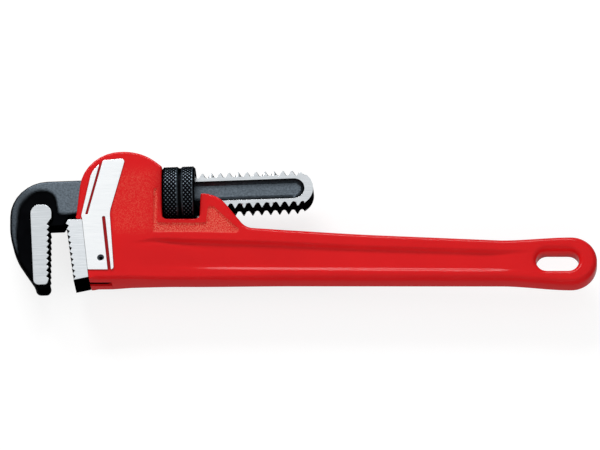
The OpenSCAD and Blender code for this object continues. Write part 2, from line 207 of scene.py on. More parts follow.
def closed(plan, tri, top, base):
    """Points and faces of a closed slab: the plan at height top, the plan at height base turned
    over, and a wall of quads along every side that only one triangle has."""
    n = len(plan)
    side = tri[:, [0, 1, 1, 2, 2, 0]].reshape(-1, 2)
    rim = side[~np.isin(side[:, 0] * n + side[:, 1], side[:, 1] * n + side[:, 0])]
    points = np.concatenate([np.c_[plan, top], np.c_[plan, base]])
    wall = np.c_[rim[:, 1], rim[:, 0], rim[:, 0] + n, rim[:, 1] + n]
    return points, tri.tolist() + (tri[:, ::-1] + n).tolist() + wall.tolist()


def mirrored(points, faces):
    """The solid and its twin on the other side of the mid-plane."""
    n = len(points)
    return (np.concatenate([points, points * [1, 1, -1]]),
            list(faces) + [[i + n for i in f[::-1]] for f in faces])


def along_handle(points):
    """Millimetres from the datum to metres in the shared frame."""
    return points / 1000 + datum


def along_shank(points):
    """The shank's own millimetres to metres: turned by its rise and lifted to its axis."""
    c, s = np.cos(shank_rise), np.sin(shank_rise)
    x, y = points[:, 0], points[:, 1]
    return along_handle(np.c_[c * x - s * y, s * x + c * y + axis_height, points[:, 2]])


def solid(name, shape, place=along_handle, sharp=38):
    """A mesh object at the origin from points and faces, smooth except over sharp degrees."""
    points, faces = shape
    mesh = bpy.data.meshes.new(name)
    mesh.from_pydata(place(points).tolist(), [], faces)
    mesh.validate()
    mesh.shade_smooth()
    mesh.set_sharp_from_angle(angle=radians(sharp))
    piece = bpy.data.objects.new(name, mesh)
    bpy.context.scene.collection.objects.link(piece)
    return piece


def prism(loop, low, high, order=(0, 1, 2)):
    """A loop drawn out from low to high; order says which axis each coordinate becomes."""
    n = len(loop)
    points = np.concatenate([np.c_[loop, np.full(n, low)], np.c_[loop, np.full(n, high)]])
    i, j = np.arange(n), (np.arange(n) + 1) % n
    faces = [i[::-1].tolist(), (i + n).tolist()] + np.c_[i, j, j + n, i + n].tolist()
    if order != (0, 1, 2):
        faces = [f[::-1] for f in faces]
    return points[:, np.argsort(order)], faces


def carve(piece, operation, *tools, sharp=38):
    """Cuts the tools away from the piece, or adds them, and keeps the result as its mesh."""
    for tool in tools:
        step = piece.modifiers.new("carve", "BOOLEAN")
        step.operation, step.solver, step.object = operation, "MANIFOLD", tool
    done = piece.evaluated_get(bpy.context.evaluated_depsgraph_get())
    mesh = bpy.data.meshes.new_from_object(done)
    piece.modifiers.clear()
    piece.data = mesh
    mesh.shade_smooth()
    mesh.set_sharp_from_angle(angle=radians(sharp))
    for tool in tools:
        bpy.data.objects.remove(tool)
    return piece


def linear(hex_colour):
    """sRGB hex to linear RGBA, by the standard's two-part curve."""
    c = np.array([int(hex_colour[i:i + 2], 16) for i in (1, 3, 5)]) / 255
    return (*np.where(c > 0.04045, ((c + 0.055) / 1.055) ** 2.4, c / 12.92), 1.0)


def add(tree, kind, links=None, **settings):
    """Adds one node: links gives each input a value or the socket that feeds it."""
    node = tree.nodes.new("ShaderNode" + kind)
    for name, value in settings.items():
        setattr(node, name, value)
    for name, value in (links or {}).items():
        if isinstance(value, bpy.types.NodeSocket):
            tree.links.new(value, node.inputs[name])
        else:
            node.inputs[name].default_value = value
    return node


def material(name):
    """A new material: its node tree, its shader, and Object coordinates in millimetres."""
    made = bpy.data.materials.new(name)
    made.use_nodes = True
    tree = made.node_tree
    where = add(tree, "TexCoord").outputs["Object"]
    where = add(tree, "Mapping", {"Vector": where, "Scale": (1000, 1000, 1000)}).outputs["Vector"]
    return made, tree, tree.nodes["Principled BSDF"], where


def finish_piece(piece, made, body, slot, *replaced):
    """Dresses a piece, ties it to its body, and hides the nodes that it stands for. Its slot is not
    used.
    """
    piece.data.materials.clear()
    piece.data.materials.append(made)
    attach(piece, body)
    if replaced:
        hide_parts(*replaced)
    return piece


def mark(piece, name, value):
    """Keeps one number per vertex on the mesh, for a material to read."""
    field = piece.data.attributes.new(name, "FLOAT", "POINT")
    field.data.foreach_set("value", value.astype(np.float32))


def handle_points(piece):
    """The mesh's vertices in millimetres from the datum."""
    co = np.empty(len(piece.data.vertices) * 3)
    piece.data.vertices.foreach_get("co", co)
    return (co.reshape(-1, 3) - datum) * 1000


def shank_points(piece):
    """The mesh's vertices in the shank's own millimetres."""
    x, y, z = (handle_points(piece) - [0, axis_height, 0]).T
    c, s = np.cos(shank_rise), np.sin(shank_rise)
    return np.c_[c * x + s * y, c * y - s * x, z]


def seam(y):
    """Where the heel jaw's back meets the casting, at height y."""
    return arch_front + mix(9.5, 4.0, y / seat_top)


def handle_edge(x, straight, at_waist, side):
    """An edge of the handle: straight to the waist, an eased flare, then the round end; side is
    1 for the upper edge and -1 for the lower."""
    bulb = side * np.sqrt(np.maximum(bulb_radius ** 2 - (x - bulb_centre[0]) ** 2, 0))
    share = ease((x - waist_start) / (bulb_centre[0] - waist_start))
    flare = mix(at_waist, bulb_centre[1] + side * bulb_radius, share)
    past_waist = np.where(x < bulb_centre[0], flare, bulb_centre[1] + bulb)
    return np.where(x < waist_start, straight, past_waist)


def handle_top(x):
    """Upper edge of the handle, which falls evenly from the root to the waist."""
    straight = mix(root_height, waist_height, (x - root_start) / (waist_start - root_start))
    return handle_edge(x, straight, waist_height, 1)


def handle_foot(x):
    """Lower edge of the handle, level up to the waist."""
    return handle_edge(x, 0.0, 0.0, -1)


sunk_field = rounded([
    (-4.4, 29.8, 1), (29, 29.6, 6), (56.5, 28.8, 2), (45.2, 33.2, 8), (31.6, 46.4, 2),
    (28, 46.8, 1.5), (27.2, 35.8, 1.5), (-2.2, 35.8, 2), (-2.8, 58.5, 1), (-5, 58.5, 1)])


def edge_radius(p):
    """Radius of the casting's rims: 2 on the head, 3.4 on the handle and round its hang hole,
    1 at the window and 0.3 where the heel jaw seats."""
    x, y = p.T
    r = mix(2.0, 3.4, ease((x - 20) / 60))
    window = np.maximum(np.abs(x - 11.6) - 11.6, np.abs(y - 52) - 14)
    r = mix(1.0, r, ease(window / 8))
    return np.where(y < seat_top + 2, mix(0.3, r, ease((x - seam(y) - 1) / 4)), r)


def recess_edges(x):
    """Where the recess's walls start: above the lower flange, and below the upper one, which
    is 2.6 wider at the head."""
    foot, top = handle_foot(x), handle_top(x)
    depth = top - foot
    return foot + 0.16 * depth, top - 0.27 * depth - 2.6 * (1 - ease((x + 17) / 17))


def casting_half(p):
    """Half thickness before the rims are rounded: an eased blend from underside to top, less the
    I-beam recess, less the sunk rough-cast field. The recess lies between two eased walls, is
    deeper at the upper one, and fades out at both ends."""
    x, y = p.T
    low, high = recess_edges(x)
    under = mix(cheek_half, handle_half, ease((x + 38) / 50))
    upper = mix(cheek_half, handle_half, ease((x - 60) / 70))
    share = np.clip((y - low) / (high - low), 0, 1)
    fade = ease((x - recess_ends[0]) / mix(75, 17, share ** 3)) * ease((recess_ends[1] - x) / 34)
    recess = mix(shallow, deep, share) * fade * ease((y - low) / 3.0) * ease((high - y) / 2.6)
    sunk = field_depth * ease((depth_in(p, sunk_field) + 0.3) / 1.1)
    return mix(under, upper, ease((y - low) / (high - low))) - recess - sunk


# The outline runs round the head to where it meets the handle, and on round the handle's end
head_end = 72.0
head_top = float(handle_top(head_end))
head = rounded([
    (head_end, head_top, 0), (51, 33.5, 10), (33.4, 55.5, 17), (23.2, 55.5, 1.5),
    (23.2, 38.6, 3), (0.71, 38.6, 3), (-0.63, 73.6, 1.5), (arch_front / 4, arch_height, 30.8),
    (arch_front * 0.938, arch_height, 24.4), (arch_front, seat_top, 1.5),
    (seam(seat_top), seat_top, 0.3), (seam(-0.6), -0.6, 0.8), (arch_front + 22.4, -0.6, 12),
    (arch_front + 34, 0, 6), (head_end, 0, 0)])
start = int(np.argmin(np.linalg.norm(head - [head_end, head_top], axis=1)))
stop = int(np.argmin(np.linalg.norm(head - [head_end, 0], axis=1)))
shaft_x = np.arange(head_end + 4, waist_start, 4.0)
flare_x = np.arange(waist_start, bulb_centre[0], 2.0)
silhouette = cut_up(np.concatenate([
    np.roll(head, -start, 0)[:(stop - start) % len(head) + 1],
    np.c_[shaft_x, np.zeros(len(shaft_x))],
    np.c_[flare_x, handle_foot(flare_x)],
    bulb_centre + bulb_radius * spoke(np.linspace(-np.pi / 2, np.pi / 2, 40)),
    np.c_[flare_x, handle_top(flare_x)][::-1],
    np.c_[shaft_x, handle_top(shaft_x)][::-1]]), fine)
hang_hole = oblong(hang_centre - [hang_half_run, 0], hang_centre + [hang_half_run, 0], hang_radius)
pin_hole = circle(pin_at, pin_bore)


def in_casting(p):
    """Distance into the casting's plan: inside the silhouette, outside its two holes."""
    holes = np.maximum(depth_in(p, hang_hole), depth_in(p, pin_hole))
    return np.minimum(depth_in(p, silhouette), -holes)


# Rows of points along the recess's walls and the sunk field's, so that both come out crisp
run = np.arange(recess_ends[0] + 0.5, recess_ends[1] - 1, 1.0)
low, high = recess_edges(run)
walls = [np.c_[run, low + d] for d in (0, 0.6, 1.2, 1.8, 2.4, 3.0)]
walls += [np.c_[run, high - d] for d in (0, 0.45, 0.9, 1.4, 1.9, 2.6)]
walls += [sunk_field + d * outward_of(sunk_field) for d in (-0.8, -0.5, -0.2, 0.1, 0.3)]
plan, tri = plan_of([silhouette, hang_hole, pin_hole], in_casting, edge_radius, fine, walls)
half = softened(casting_half(plan), in_casting(plan), edge_radius(plan))
casting = solid("handle_casting", closed(plan, tri, half, -half))
# Known fault: fork_stop moves the arc of the fork's end across the fork as well as along it, so
# it cuts a slit 0.12 wide through the lower cheek and leaves the fork's end flat. Added to x
# alone it would round the end to fork_end.
mouth, fork_stop, channel_end = arch_front - 1, fork_end - fork_half, 60.0
fork_arc = fork_stop + fork_half * spoke(np.radians(np.arange(-75, 80, 15)))
fork = [(mouth, -fork_half), (fork_stop, -fork_half), *fork_arc,
        (fork_stop, fork_half), (mouth, fork_half)]
channel = [(mouth, channel_floor), (channel_end, channel_floor),
           (channel_end, channel_roof), (mouth, channel_roof)]
upright = (0, 2, 1)
carve(casting, "DIFFERENCE",
      solid("channel", prism(np.array(channel), -channel_half, channel_half)),
      solid("fork", prism(np.array(fork), -2.0, channel_floor + 1, upright)),
      solid("pocket", prism(circle((coil_x, 0), coil_pocket), coil_foot, channel_floor + 1,
                            upright)))

# Outline of the ground pads on the cheeks, and the two grooves in them that keep their paint
pad_loop = rounded([
    (seam(4.8), 4.8, 0.4), (arch_front + 24.5, 4.8, 1.8), (arch_front + 20.5, 42.8, 16),
    (arch_front + 28.5, 78.4, 2), (arch_front + 15.2, 77, 2.5), (arch_front + 8.4, 69.4, 12),
    (arch_front + 3.4, 40.2, 2), (seam(seat_top), seat_top, 0.3)])
grooves = [oblong((arch_front + 14.6, 79), (arch_front + 6.6, 41.6), 0.7),
           oblong((arch_front + 17.0, 39), (arch_front + 22.0, 3.5), 0.95)]

# Red enamel over a cast skin: glossy and even where the mould was smooth, pale and stippled where
# it lies thin over the grain of the sand, with painted shade round the pads and in their grooves.
red_enamel, tree, shader, where = material("red_enamel_on_cast_iron")
p = handle_points(casting)[:, :2]
x, y = p.T
beside_pad = ease((x - seam(y) - 17) / 3) * ease((4 - x) / 16)
beside_pad *= ease((y - 26) / 8) * ease((76 - y) / 10)
rough = np.maximum(ease((depth_in(p, sunk_field) + 0.4) / 0.8), 0.3 * beside_pad)
mark(casting, "sand_skin", rough)
# Painted shade: a dark line round the pads and darker red in their grooves
into_pad = depth_in(p, pad_loop)
rim = 0.45 * ease(1.2 - np.abs(into_pad) / 0.7)
grooved = np.max([ease(1.3 + depth_in(p, loop) / 0.8) for loop in grooves], axis=0)
mark(casting, "painted_groove_shade", np.maximum(rim, 0.8 * grooved * ease((into_pad - 0.3) / 0.6)))
skin = add(tree, "Attribute", attribute_name="sand_skin").outputs["Fac"]
grain = add(tree, "TexNoise", {"Vector": where, "Scale": 1.6, "Detail": 2.0}).outputs["Fac"]
speck = add(tree, "MapRange",
            {"Value": grain, "From Min": 0.42, "From Max": 0.72}).outputs["Result"]
speck = add(tree, "Math", {0: speck, 1: skin}, operation="MULTIPLY").outputs["Value"]
flow = add(tree, "TexNoise", {"Vector": where, "Scale": 0.05, "Detail": 3.0}).outputs["Fac"]
tint = add(tree, "Mix", {"Factor": flow, "A": linear("#D1161A"), "B": linear("#DD191C")},
           data_type="RGBA").outputs["Result"]
tint = add(tree, "Mix", {"Factor": speck, "A": tint, "B": linear("#E87A62")},
           data_type="RGBA").outputs["Result"]
painted_shade = add(tree, "Attribute", attribute_name="painted_groove_shade").outputs["Fac"]
tint = add(tree, "Mix", {"Factor": painted_shade, "A": tint, "B": linear("#7A0E12")},
           data_type="RGBA").outputs["Result"]
tree.links.new(tint, shader.inputs["Base Color"])
shader.inputs["Specular IOR Level"].default_value = 0.11
gloss = add(tree, "MapRange", {"Value": skin, "To Min": 0.15, "To Max": 0.5}).outputs["Result"]
tree.links.new(gloss, shader.inputs["Roughness"])
peel = add(tree, "TexNoise", {"Vector": where, "Scale": 0.45, "Detail": 2.0}).outputs["Fac"]
coarse = add(tree, "Math", {0: grain, 1: skin}, operation="MULTIPLY").outputs["Value"]
relief = add(tree, "Math", {0: coarse, 1: 2.5, 2: peel}, operation="MULTIPLY_ADD").outputs["Value"]
bump = add(tree, "Bump", {"Height": relief, "Strength": 0.35, "Distance": 0.0002}).outputs["Normal"]
tree.links.new(bump, shader.inputs["Normal"])
finish_piece(casting, red_enamel, "handle", "cast_red", "handle_housing")

# ---------------------------------------------------------------------------------------------
# Ground pads on both cheeks: the same iron, planed bare after painting so that the jaws run
# true. Two milled grooves keep their paint.
pad_top, grind = 9.75, 0.15


def in_pad(p):
    """Distance into the pad: inside its loop, outside both grooves and the pin's bore."""
    cuts = np.max([depth_in(p, loop) for loop in grooves + [pin_hole]], axis=0)
    return np.minimum(depth_in(p, pad_loop), -cuts)


def hair(p):
    """A ground edge's radius, the same everywhere."""
    return np.full(len(p), grind)


def slab(plan, tri, top, foot):
    """A plan raised from a level foot to the heights given."""
    return closed(plan, tri, top, np.full(len(plan), foot))


plan, tri = plan_of([pad_loop, pin_hole] + grooves, in_pad, hair, 2.0)
top = softened(pad_top, in_pad(plan), grind)
pads = solid("ground_cheek_pads", mirrored(*slab(plan, tri, top, 8.6)))

# Ground steel: bare bright metal with fine parallel scratches about 0.4 mm apart, drawn a little
# coarser than grit leaves them so that they show.
def ground(name, dull, bright):
    """Bare metal between two tones along scratches that run with the handle."""
    made, tree, shader, where = material(name)
    streak = add(tree, "Mapping", {"Vector": where, "Scale": (0.1, 2.2, 1.0)}).outputs["Vector"]
    scratch = add(tree, "TexNoise", {"Vector": streak, "Scale": 1.0, "Detail": 3.0}).outputs["Fac"]
    tone = add(tree, "Mix", {"Factor": scratch, "A": linear(dull), "B": linear(bright)},
               data_type="RGBA").outputs["Result"]
    tree.links.new(tone, shader.inputs["Base Color"])
    shader.inputs["Metallic"].default_value = 1.0
    shine = add(tree, "MapRange", {"Value": scratch, "To Min": 0.2, "To Max": 0.28})
    tree.links.new(shine.outputs["Result"], shader.inputs["Roughness"])
    bump = add(tree, "Bump", {"Height": scratch, "Strength": 0.08, "Distance": 0.0001})
    tree.links.new(bump.outputs["Normal"], shader.inputs["Normal"])
    return made


ground_steel = ground("planed_cheek_steel", "#E4E8EB", "#F6F8F9")
hook_steel = ground("ground_jaw_steel", "#B4BABF", "#DFE3E6")
heel_steel = ground("ground_heel_steel", "#C6CCD1", "#EBEFF2")
finish_piece(pads, ground_steel, "handle", "ground_steel")

# ---------------------------------------------------------------------------------------------
# Spring set under the shank: a leaf of hardened strip, a coil of round wire and the rivet that
# ties them, all in oil-blackened spring steel. The pin that holds the heel jaw is rolled strip.
spring_steel, tree, shader, where = material("oil_tempered_spring_steel")
haze = add(tree, "TexNoise", {"Vector": where, "Scale": 0.8, "Detail": 3.0}).outputs["Fac"]
tone = add(tree, "Mix", {"Factor": haze, "A": linear("#22262A"), "B": linear("#565C62")},
           data_type="RGBA").outputs["Result"]
tree.links.new(tone, shader.inputs["Base Color"])
shader.inputs["Metallic"].default_value = 1.0
shine = add(tree, "MapRange", {"Value": haze, "To Min": 0.3, "To Max": 0.5}).outputs["Result"]
tree.links.new(shine, shader.inputs["Roughness"])
for name in ("flat_spring", "spring_rivet", "heel_jaw_pin"):
    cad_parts[name].data.materials.clear()
    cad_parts[name].data.materials.append(spring_steel)

wire, wire_sides, coil_turns = 0.6, 12, 6


def face_outward(thing, weld=0.0):
    """Merge points closer than weld metres, then turn every face outward."""
    work = bmesh.new()
    work.from_mesh(thing.data)
    if weld:
        bmesh.ops.remove_doubles(work, verts=work.verts, dist=weld)
    bmesh.ops.recalc_face_normals(work, faces=work.faces)
    work.to_mesh(thing.data)
    work.free()


coil_low, coil_high = (np.array(c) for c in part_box("coil_spring"))
coil_radius = (coil_high[0] - coil_low[0]) * 500 - wire
free_rise = (coil_high[1] - coil_low[1]) * 1000 - 2 * wire - 4 * wire
u = np.linspace(0, coil_turns, 30 * coil_turns + 1)
rise = 2 * wire * (np.minimum(u, 1) + np.maximum(0, u - coil_turns + 1))
rise += free_rise * np.clip((u - 1) / (coil_turns - 2), 0, 1)
ring = np.arange(wire_sides) * 2 * np.pi / wire_sides
# A circle of wire carried up a helix that lies closed for its first and last turn
r = coil_radius + wire * np.cos(ring)
a = 2 * np.pi * u[:, None]
points = np.stack([coil_x + r * np.cos(a), coil_foot + wire * (1 + np.sin(ring)) + rise[:, None],
                   -r * np.sin(a)], -1).reshape(-1, 3)
k, j = np.meshgrid(np.arange(len(u) - 1), np.arange(wire_sides), indexing="ij")
here, after, j_after = k * wire_sides, (k + 1) * wire_sides, (j + 1) % wire_sides
tube = np.stack([here + j, here + j_after, after + j_after, after + j], -1)
cap = list(range(wire_sides))
coil = solid("coil_spring_wire", (points, tube.reshape(-1, 4).tolist() +
                                  [cap[::-1], [i + len(points) - wire_sides for i in cap]]))
face_outward(coil)
finish_piece(coil, spring_steel, "handle", "spring_steel", "coil_spring")
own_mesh(coil)

# ---------------------------------------------------------------------------------------------
# Hook jaw: a drop forging in alloy steel, hardened and blackened. The hook is dished round a
# raised pad, and the flat-sided shank has a rolled left-hand thread and a forged recess.
# Sizes are millimetres in the shank's own axes.
crest, root, pitch = 13.15, 10.35, 5.4
first_crest, tail_centre = -34.95, 79.0
root_shoulder, flank = root + 0.35, 0.612
shank_half, hook_half = 5.85, 8.5
dish_half, dish_rim = 5.3, 1.2
recess_start, recess_half, recess_depth = 12.45, 6.45, 2.4
tail_radius = np.sqrt(crest ** 2 - shank_half ** 2)
hook_foot = -60.0
neck_end = first_crest + pitch / 2 + 0.6


def saw_teeth(a, b, depth, count, lean):
    """Corners of a saw-tooth line from a to b: each step has its tip at the start and its valley
    at the share lean, depth to the left of the line."""
    a, b = np.array(a, float), np.array(b, float)
    step = (b - a) / count
    left = np.array([-step[1], step[0]]) / np.linalg.norm(step)
    tips = a + np.arange(count)[:, None] * step
    both = np.stack([tips, tips + lean * step + depth * left], 1).reshape(-1, 2)
    return [(*p, 0.0) for p in both] + [(*b, 0.0)]


bite = saw_teeth((arch_front - 16.5, -55), (arch_front - 16.5, -16.9), 1.6, 10, 0.36)
hook_loop = rounded(
    [(arch_front - 40.5, 10.4, 22.5), (arch_front - 40.5, -32.6, 50),
     (arch_front - 23.2, hook_foot, 3.5), (arch_front - 15.6, hook_foot, 3)] +
    [c for c in bite if c[1] < -19] +
    [(arch_front - 17.8, -19, 0), (arch_front - 8.4, -19, 0.8), (arch_front - 5.2, -12.9, 1),
     (neck_end + 2, -12.9 + 2.6, 0), (neck_end + 2, 10.4, 0)], 0.8)
hook_pad = rounded(
    [(arch_front - 28.2, -6.2, 5.5), (arch_front - 25.6, hook_foot + 1.2, 3.4),
     (arch_front - 17.6, hook_foot + 1.2, 2)] + bite +
    [(arch_front - 15.3, -15.2, 1.5), (arch_front - 15.3, -6.2, 5.5)], 0.8)
rim_loop = rounded(
    [(arch_front - 44.6, 14, 0), (arch_front - 44.6, -50, 0), (arch_front - 33.6, -46, 4),
     (arch_front - 35.8, -25, 30), (arch_front - 34, -6, 12), (arch_front - 24.6, 5.4, 9),
     (arch_front - 14.2, 1.5, 7), (arch_front - 11.9, -12, 1.5), (arch_front - 0.6, -14, 0),
     (0, -14, 0), (0, 14, 0)], 1.5)


def hook_edge(p):
    """Radius of the forging's rims: 1.7 round the back, 0.25 on the teeth and the neck's
    underside, and under a third of that where the neck meets the shank."""
    x, y = p.T
    blunt = np.maximum(ease((arch_front - 21 - x) / 6), ease((y + 2) / 6))
    return mix(0.25, 1.7, blunt) * mix(0.3, 1, ease((neck_end - 1 - x) / 3))


def in_hook(p):
    """Distance into the hook's outline."""
    return depth_in(p, hook_loop)


def hook_height(p):
    """Half thickness of the hook: the dish, the eased rim and neck, and the pad's steep sides."""
    dish = dish_half + dish_rim * ease((depth_in(p, rim_loop) + 0.6) / 2.2)
    return np.maximum(dish, mix(dish, hook_half - 0.2, ease((depth_in(p, hook_pad) + 0.5) / 0.6)))


plan, tri = plan_of([hook_loop], in_hook, hook_edge, 0.8)
half = softened(hook_height(plan), in_hook(plan), hook_edge(plan))
hook = solid("hook_jaw_forging", closed(plan, tri, half, -half), along_shank, 45)


def thread_line(first, count):
    """Radius of the thread against distance: a narrow crest, straight flanks, a rounded root."""
    step = np.array([[-0.25, crest], [0.25, crest], [pitch / 2 - 0.95, root_shoulder],
                     [pitch / 2, root], [pitch / 2 + 0.95, root_shoulder]])
    return (step + np.c_[first + np.arange(count) * pitch, np.zeros(count)][:, None]).reshape(-1, 2)


def thread_ring(z):
    """The shank's outline at height z. On each edge y = sqrt(r^2 - z^2), and the helix moves x
    back by the pitch for each whole turn of atan2(z, y); past the tail it lies on one circle."""
    count = int((tail_centre + tail_radius / 2 - first_crest) / pitch) + 1
    lines = []
    for side in (1, -1):
        x, r = thread_line(first_crest + (0 if side > 0 else pitch / 2), count).T
        y = np.sqrt(r * r - z * z)
        q = np.c_[x - side * pitch * np.arctan2(z, y) / (2 * np.pi), side * y]
        out = q - [tail_centre, 0]
        far = np.linalg.norm(out, axis=1)
        pull = (q[:, 0] > tail_centre) & (far > tail_radius)
        q[pull] = [tail_centre, 0] + out[pull] * (tail_radius / far[pull])[:, None]
        lines.append(q)
    t = np.radians(np.arange(35, -36, -7))
    tail = [tail_centre, 0] + tail_radius * spoke(t)
    return np.concatenate([lines[0], tail, lines[1][::-1]])


recess = oblong((recess_start, 0), (tail_centre, 0), recess_half)
levels = np.linspace(-shank_half, shank_half, 9)
rings = [thread_ring(z) for z in levels]
n = len(rings[0])
points = [np.concatenate([np.c_[ring, np.full(n, z)] for ring, z in zip(rings, levels)])]
faces = []
i = np.arange(n)
i_after = (i + 1) % n
for k in range(len(levels) - 1):
    here, after = k * n, (k + 1) * n
    faces += np.c_[here + i, after + i, after + i_after, here + i_after].tolist()
count = n * len(levels)
for ring, z in ((rings[0], -1), (rings[-1], 1)):
    flat, tri = plan_of([ring, recess], lambda p: depth_in(p, ring),
                        lambda p: np.full(len(p), 0.6), 2.5)
    floor_z = shank_half - recess_depth * ease(depth_in(flat, recess) / 0.8)
    points.append(np.c_[flat, z * floor_z])
    faces += ((tri if z > 0 else tri[:, ::-1]) + count).tolist()
    count += len(flat)
shank = solid("shank", (np.concatenate(points), faces), along_shank)
face_outward(shank, weld=2e-6)
carve(hook, "UNION", shank, sharp=35)

# Blackened forging: scale and oil give a near-black skin. A blue-grey sheen on its high places is
# painted into the colour, as painted reflection.
black_forging, tree, shader, where = material("blackened_drop_forging")
scale_pits = add(tree, "TexNoise", {"Vector": where, "Scale": 0.9, "Detail": 4.0}).outputs["Fac"]
cloud = add(tree, "TexNoise", {"Vector": where, "Scale": 0.08, "Detail": 2.0}).outputs["Fac"]
tone = add(tree, "Mix", {"Factor": cloud, "A": linear("#020203"), "B": linear("#0B0C0E")},
           data_type="RGBA").outputs["Result"]
painted_sheen = add(tree, "Attribute", attribute_name="painted_sheen").outputs["Fac"]
patch = add(tree, "MapRange", {"Value": scale_pits, "From Min": 0.3, "From Max": 0.7,
                               "To Min": 0.6, "To Max": 1.2}).outputs["Result"]
sheen_share = add(tree, "Math", {0: painted_sheen, 1: patch}, operation="MULTIPLY",
           use_clamp=True).outputs["Value"]
tone = add(tree, "Mix", {"Factor": sheen_share, "A": tone, "B": linear("#6F7A84")},
           data_type="RGBA").outputs["Result"]
tree.links.new(tone, shader.inputs["Base Color"])
shader.inputs["Metallic"].default_value = 1.0
shader.inputs["Specular Tint"].default_value = (0.12, 0.12, 0.13, 1)
shine = add(tree, "MapRange", {"Value": scale_pits, "To Min": 0.3, "To Max": 0.46})
tree.links.new(shine.outputs["Result"], shader.inputs["Roughness"])
bump = add(tree, "Bump", {"Height": scale_pits, "Strength": 0.2, "Distance": 0.0001})
tree.links.new(bump.outputs["Normal"], shader.inputs["Normal"])
# Painted sheen: paler blue-grey on the raised rims and the neck, along the back's outer edge, and
# on the floor of the shank's recess
x, y, z = shank_points(hook).T
p = np.c_[x, y]
face = ease((np.abs(z) - shank_half) / 0.5) * ease((depth_in(p, rim_loop) + 0.8) / 3)
back = ease((arch_front - 22 - x) / 12)
face *= mix(0.66, 0.36 * ease((6.5 - in_hook(p)) / 4), back) * ease((in_hook(p) - 0.5) / 1.6)
floor_of_recess = 0.62 * ease((depth_in(p, recess) - 0.9) / 0.8) * ease((5.2 - y) / 1.0)
floor_of_recess *= np.abs(z) < shank_half - 2
mark(hook, "painted_sheen", np.maximum(face, floor_of_recess))
finish_piece(hook, black_forging, "jaw", "forged_black", "hook_jaw")

# ---------------------------------------------------------------------------------------------
# Ground faces of the hook jaw: the pad beside the teeth and the shank's flats round the recess
# are each ground level, so the blackening is gone from them.
plan, tri = plan_of([hook_pad], lambda p: depth_in(p, hook_pad), hair, 2.0)
top = softened(hook_half, depth_in(plan, hook_pad), grind)
hook_face = solid("ground_hook_pads", mirrored(*slab(plan, tri, top, hook_half - 0.6)),
                  along_shank)
finish_piece(hook_face, hook_steel, "jaw", "ground_steel")

wide_recess = oblong((recess_start, 0), (tail_centre, 0), recess_half + 0.15)
# In front of flat_back the flats below flat_low stay blackened, as painted shade in the gap between
# the nut and the lug.
flat_front, flat_back, flat_low = -26.0, 29.0, 6.6


def on_flat(p):
    """Distance into the flat round the recess: all of it behind flat_back, and from flat_front to
    there only the strip above flat_low."""
    x, y = p.T
    strip = np.where(y > 0, np.minimum(y - flat_low, x - flat_front), -1)
    return np.minimum(np.minimum(depth_in(p, edge_loop), -depth_in(p, wide_recess)),
                      np.maximum(x - flat_back, strip))


start_line = np.array([
    (flat_front, flat_low), (flat_back, flat_low), (flat_back, -16), (flat_back + 0.1, -16),
    (flat_back + 0.1, flat_low + 0.1), (flat_front + 0.1, flat_low + 0.1),
    (flat_front + 0.1, 16), (flat_front, 16)])
sides = []
for edge_loop in (rings[-1], rings[0]):
    plan, tri = plan_of([edge_loop, wide_recess, start_line], on_flat, hair, 2.0)
    top = softened(shank_half + 0.03, on_flat(plan), 0.02)
    sides.append(slab(plan, tri, top, shank_half - 0.15))
(upper, upper_faces), (lower, lower_faces) = sides
flats = solid("ground_shank_flats", (
    np.concatenate([upper, lower * [1, 1, -1]]),
    list(upper_faces) + [[i + len(upper) for i in f[::-1]] for f in lower_faces]), along_shank)
finish_piece(flats, hook_steel, "jaw", "ground_steel")

# ---------------------------------------------------------------------------------------------
# Adjusting nut: turned and blackened steel with a left-hand thread inside. Two bands carry a
# rolled diamond knurl for the thumb, with a V groove between them.
nut_radius, nut_length, nut_bore, nut_front = 17.85, 19.5, 13.37, 0.3
nut_chamfer, groove_at, groove_half, knurl_depth = 1.1, nut_length * 0.54, 1.6, 0.3
knurls_round, knurl_run = 80, 1.2


def nut_profile():
    """Closed profile (distance, radius, knurl share, thread share) round the nut's section."""
    c, band = nut_chamfer, nut_radius
    outer = np.concatenate([
        np.c_[np.linspace(0, c, 4), np.linspace(band - c, band, 4)],
        np.c_[np.linspace(c + 0.1, groove_at - groove_half, 36), np.full(36, band)],
        [[groove_at - 0.7, band - 0.7], [groove_at, band - 1.0], [groove_at + 0.7, band - 0.7]],
        np.c_[np.linspace(groove_at + groove_half, nut_length - c - 0.1, 32), np.full(32, band)],
        np.c_[np.linspace(nut_length - c, nut_length, 4), np.linspace(band, band - c, 4)]])
    s = outer[:, 0]
    knurl = ease((s - c) / 0.5) * ease((nut_length - c - s) / 0.5)
    knurl *= ease((np.abs(s - groove_at) - 1.5) / 0.4)
    bore = np.c_[np.linspace(nut_length, 0, 48), np.full(48, nut_bore)]
    return (np.concatenate([outer, bore]), np.concatenate([knurl, np.zeros(48)]),
            np.concatenate([np.zeros(len(outer)), np.ones(48)]))


section, knurl, threaded = nut_profile()
around = np.arange(knurls_round * 6) * 2 * np.pi / (knurls_round * 6)
s, a = np.meshgrid(section[:, 0], around, indexing="ij")
r = np.repeat(section[:, 1:], len(around), 1)


def triangle_wave(u):
    """0 at whole numbers, 1 half way between them."""
    return 1 - np.abs(2 * (u - np.floor(u)) - 1)


# Diamonds stand where neither of two crossed families of grooves runs
turns = a * knurls_round / (2 * np.pi)
pyramid = np.minimum(triangle_wave(turns / 2 + s / knurl_run / 2),
                     triangle_wave(turns / 2 - s / knurl_run / 2))
r -= knurl[:, None] * knurl_depth * (1 - pyramid)
